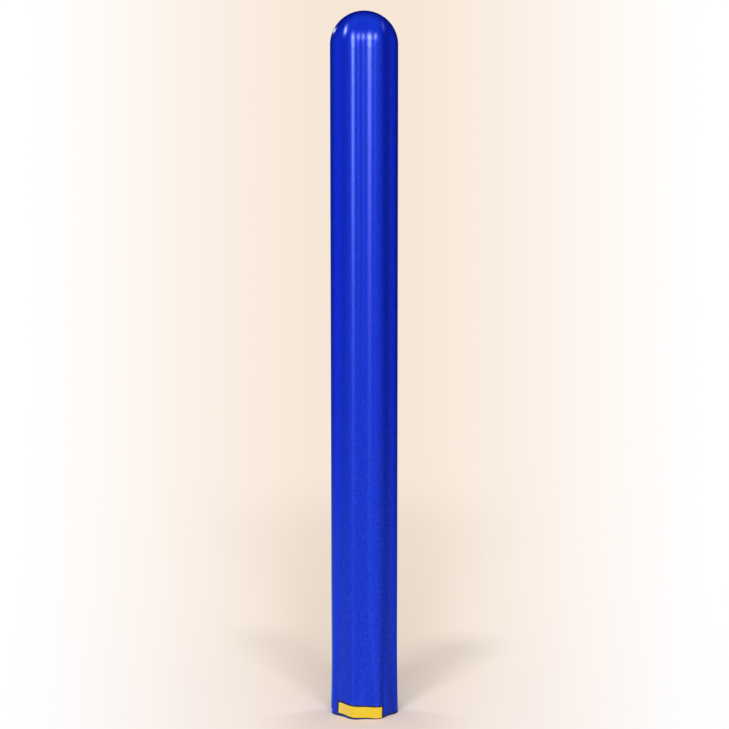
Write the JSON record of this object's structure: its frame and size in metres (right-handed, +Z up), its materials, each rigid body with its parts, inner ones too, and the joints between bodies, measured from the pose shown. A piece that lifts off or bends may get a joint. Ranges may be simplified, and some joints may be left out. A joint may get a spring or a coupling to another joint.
{
  "type": "bollard cover sleeve",
  "caption": "Tall round plastic cover sleeve with a domed top and a fluted open foot, which drops over a steel pipe bollard and grips it with foam strips.",
  "frame": {"origin": "centre of the sleeve's rim, on the surface that it stands on", "axes": "+Z up along the sleeve, -Y towards the label and the picture's camera, +X to the right"},
  "size_m": [0.134, 0.1344, 1.4224],
  "materials": {
    "sleeve_plastic": "satin-gloss blue polyethylene with a faint orange-peel texture",
    "label_film": "glossy yellow printed film, left bare",
    "foam": "matt dark grey closed-cell foam"
  },
  "bodies": {
    "root": {"sleeve_shell": "sleeve_plastic", "base_label": "label_film", "foam_strip_lower_1": "foam", "foam_strip_lower_2": "foam", "foam_strip_lower_3": "foam", "foam_strip_lower_4": "foam", "foam_strip_upper_1": "foam", "foam_strip_upper_2": "foam", "foam_strip_upper_3": "foam", "foam_strip_upper_4": "foam"}
  },
  "joints": []
}
